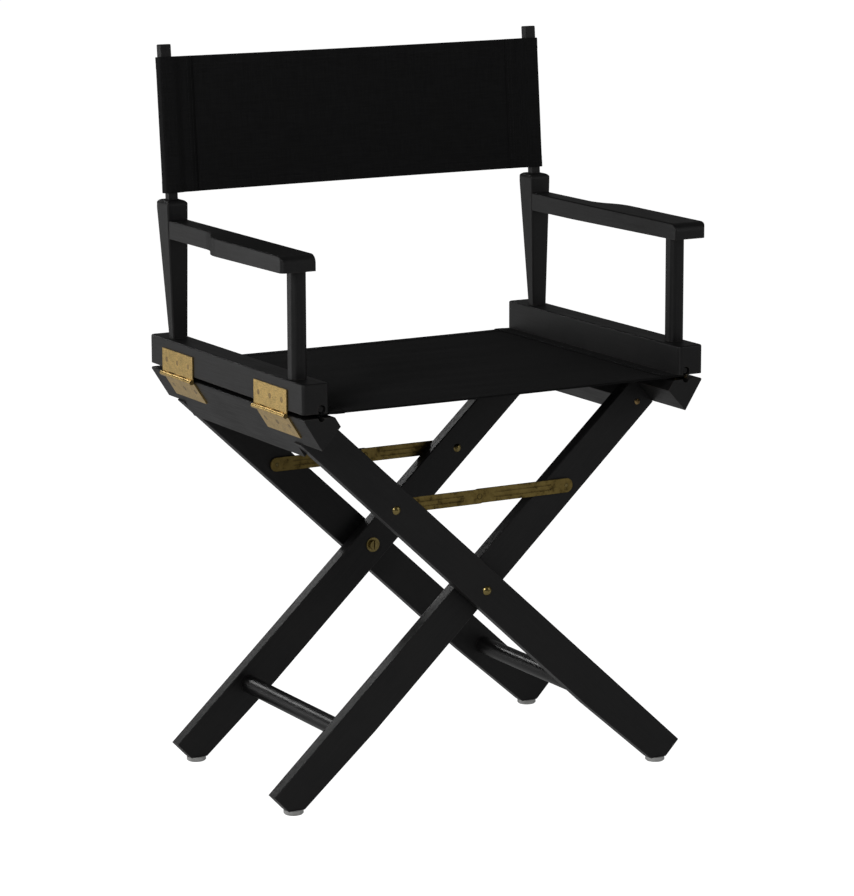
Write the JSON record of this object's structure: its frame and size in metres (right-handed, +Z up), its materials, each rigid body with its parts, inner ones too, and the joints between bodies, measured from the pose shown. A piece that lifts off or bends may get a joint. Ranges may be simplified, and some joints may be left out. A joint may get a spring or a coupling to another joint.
{
  "type": "director chair",
  "caption": "Folding wooden armchair with crossed legs, hinged side rails, turned arm posts, canvas sling seat and canvas back band, all black with brass hinges and stays",
  "frame": {"origin": "on the floor under the middle of the open chair", "axes": "+Z up, +Y towards the back of the chair, +X towards the right arm as seen from the front"},
  "size_m": [0.6224, 0.4382, 0.9587],
  "materials": {
    "black_painted_wood": "satin black paint on hardwood",
    "seat_canvas": "heavy plain-weave cotton canvas",
    "back_canvas": "heavy plain-weave cotton canvas",
    "bright_brass": "bright rolled brass",
    "aged_brass": "antique brass, darkened in the grooves",
    "glide_plastic": "pale nylon"
  },
  "bodies": {
    "pivots": {"pivot_bolts": "aged_brass", "pivot_spacers": "aged_brass", "pivot_nuts": "aged_brass"},
    "outer_frame": {"outer_front_leg": "black_painted_wood", "outer_rear_leg": "black_painted_wood", "outer_leg_rail": "black_painted_wood", "outer_stretcher": "black_painted_wood", "outer_foot_glides": "glide_plastic", "outer_leg_screws": "bright_brass", "outer_stay_bolts": "aged_brass", "left_lower_hinge_leaves": "bright_brass", "left_lower_hinge_screws": "bright_brass"},
    "inner_frame": {"inner_front_leg": "black_painted_wood", "inner_rear_leg": "black_painted_wood", "inner_leg_rail": "black_painted_wood", "inner_stretcher": "black_painted_wood", "inner_foot_glides": "glide_plastic", "inner_leg_screws": "bright_brass", "inner_stay_bolts": "aged_brass", "right_lower_hinge_leaves": "bright_brass", "right_lower_hinge_screws": "bright_brass"},
    "left_arm": {"left_side_rail": "black_painted_wood", "left_front_arm_post": "black_painted_wood", "left_rear_arm_post": "black_painted_wood", "left_armrest": "black_painted_wood", "left_back_stick": "black_painted_wood", "left_seat_dowel": "black_painted_wood", "left_hinge_pins": "bright_brass", "left_upper_hinge_leaves": "bright_brass", "left_upper_hinge_screws": "bright_brass", "seat_canvas": "seat_canvas", "back_canvas": "back_canvas"},
    "right_arm": {"right_side_rail": "black_painted_wood", "right_front_arm_post": "black_painted_wood", "right_rear_arm_post": "black_painted_wood", "right_armrest": "black_painted_wood", "right_back_stick": "black_painted_wood", "right_seat_dowel": "black_painted_wood", "right_hinge_pins": "bright_brass", "right_upper_hinge_leaves": "bright_brass", "right_upper_hinge_screws": "bright_brass"},
    "outer_front_stay": {"outer_front_stay_link": "aged_brass", "outer_front_stay_rivet": "aged_brass"},
    "outer_rear_stay": {"outer_rear_stay_link": "aged_brass", "outer_rear_stay_rivet": "aged_brass"},
    "inner_front_stay": {"inner_front_stay_link": "aged_brass", "inner_front_stay_rivet": "aged_brass"},
    "inner_rear_stay": {"inner_rear_stay_link": "aged_brass", "inner_rear_stay_rivet": "aged_brass"}
  },
  "joints": [
    {"name": "fold", "type": "hinge", "parent": "pivots", "child": "outer_frame", "pos_m": [0, 0, 0.268], "axis": [0, 1, 0], "range_deg": [0, 38], "deforming": ["seat_canvas", "back_canvas"]},
    {"name": "inner_frame_fold", "type": "hinge", "parent": "pivots", "child": "inner_frame", "pos_m": [0, 0, 0.268], "axis": [0, -1, 0], "range_deg": [0, 38]},
    {"name": "left_arm_hinge", "type": "hinge", "parent": "outer_frame", "child": "left_arm", "pos_m": [-0.297, 0, 0.5285], "axis": [0, -1, 0], "range_deg": [0, 38]},
    {"name": "right_arm_hinge", "type": "hinge", "parent": "inner_frame", "child": "right_arm", "pos_m": [0.297, 0, 0.5285], "axis": [0, 1, 0], "range_deg": [0, 38]},
    {"name": "outer_front_stay_hinge", "type": "hinge", "parent": "outer_frame", "child": "outer_front_stay", "pos_m": [-0.13335, -0.1425, 0.38893], "axis": [0, -1, 0], "range_deg": [0, 114.77]},
    {"name": "outer_rear_stay_hinge", "type": "hinge", "parent": "outer_frame", "child": "outer_rear_stay", "pos_m": [-0.13335, 0.1675, 0.38893], "axis": [0, -1, 0], "range_deg": [0, 114.77]},
    {"name": "inner_front_stay_hinge", "type": "hinge", "parent": "inner_frame", "child": "inner_front_stay", "pos_m": [0.13335, -0.1425, 0.38893], "axis": [0, 1, 0], "range_deg": [0, 114.77]},
    {"name": "inner_rear_stay_hinge", "type": "hinge", "parent": "inner_frame", "child": "inner_rear_stay", "pos_m": [0.13335, 0.1675, 0.38893], "axis": [0, 1, 0], "range_deg": [0, 114.77]}
  ],
  "couplings": [
    {"joint": "inner_frame_fold", "follows": "fold", "ratio": 1},
    {"joint": "left_arm_hinge", "follows": "fold", "ratio": 1},
    {"joint": "right_arm_hinge", "follows": "fold", "ratio": 1},
    {"joint": "outer_front_stay_hinge", "follows": "fold", "ratio": 3.019},
    {"joint": "outer_rear_stay_hinge", "follows": "fold", "ratio": 3.019},
    {"joint": "inner_front_stay_hinge", "follows": "fold", "ratio": 3.019},
    {"joint": "inner_rear_stay_hinge", "follows": "fold", "ratio": 3.019}
  ]
}
